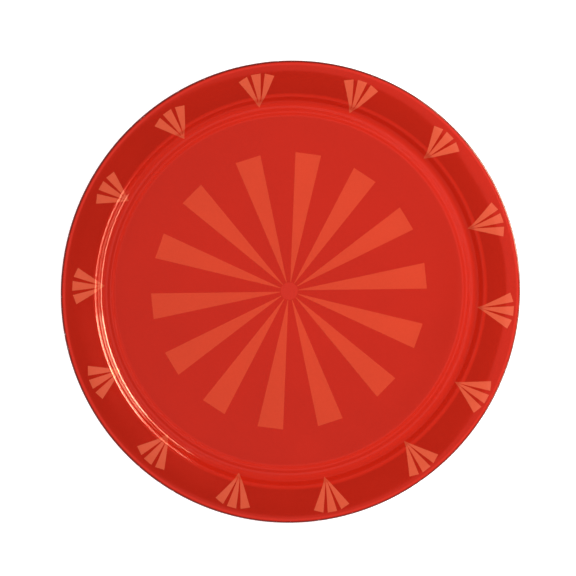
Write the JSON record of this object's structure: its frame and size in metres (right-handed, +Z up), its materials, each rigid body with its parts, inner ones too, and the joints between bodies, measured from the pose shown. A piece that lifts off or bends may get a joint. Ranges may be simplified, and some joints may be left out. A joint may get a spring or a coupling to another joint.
{
  "type": "serving tray",
  "caption": "Round pressed-tin serving tray with a raised floor bead, a steep wall, a wide flared rim with a wired curl, and a printed sunburst on the floor with printed fans on the rim.",
  "frame": {"origin": "centre of the underside, on the surface that the tray stands on", "axes": "+Z up out of the well, along the tray's axis; +X and +Y in the plane of the floor"},
  "size_m": [0.33, 0.33, 0.0141],
  "materials": {
    "red_enamel": "gloss red litho enamel on tinplate, both sides",
    "ray_ink": "gloss light red litho ink",
    "fan_ink": "gloss salmon red litho ink",
    "hub_ink": "gloss bright red litho ink",
    "wire_steel": "plain drawn steel wire"
  },
  "bodies": {
    "root": {"tray_pan": "red_enamel", "rim_wire": "wire_steel", "hub_print": "hub_ink", "ray_print_01": "ray_ink", "ray_print_02": "ray_ink", "ray_print_03": "ray_ink", "ray_print_04": "ray_ink", "ray_print_05": "ray_ink", "ray_print_06": "ray_ink", "ray_print_07": "ray_ink", "ray_print_08": "ray_ink", "ray_print_09": "ray_ink", "ray_print_10": "ray_ink", "ray_print_11": "ray_ink", "ray_print_12": "ray_ink", "ray_print_13": "ray_ink", "ray_print_14": "ray_ink", "fan_print_01": "fan_ink", "fan_print_02": "fan_ink", "fan_print_03": "fan_ink", "fan_print_04": "fan_ink", "fan_print_05": "fan_ink", "fan_print_06": "fan_ink", "fan_print_07": "fan_ink", "fan_print_08": "fan_ink", "fan_print_09": "fan_ink", "fan_print_10": "fan_ink", "fan_print_11": "fan_ink", "fan_print_12": "fan_ink", "fan_print_13": "fan_ink", "fan_print_14": "fan_ink"}
  },
  "joints": []
}
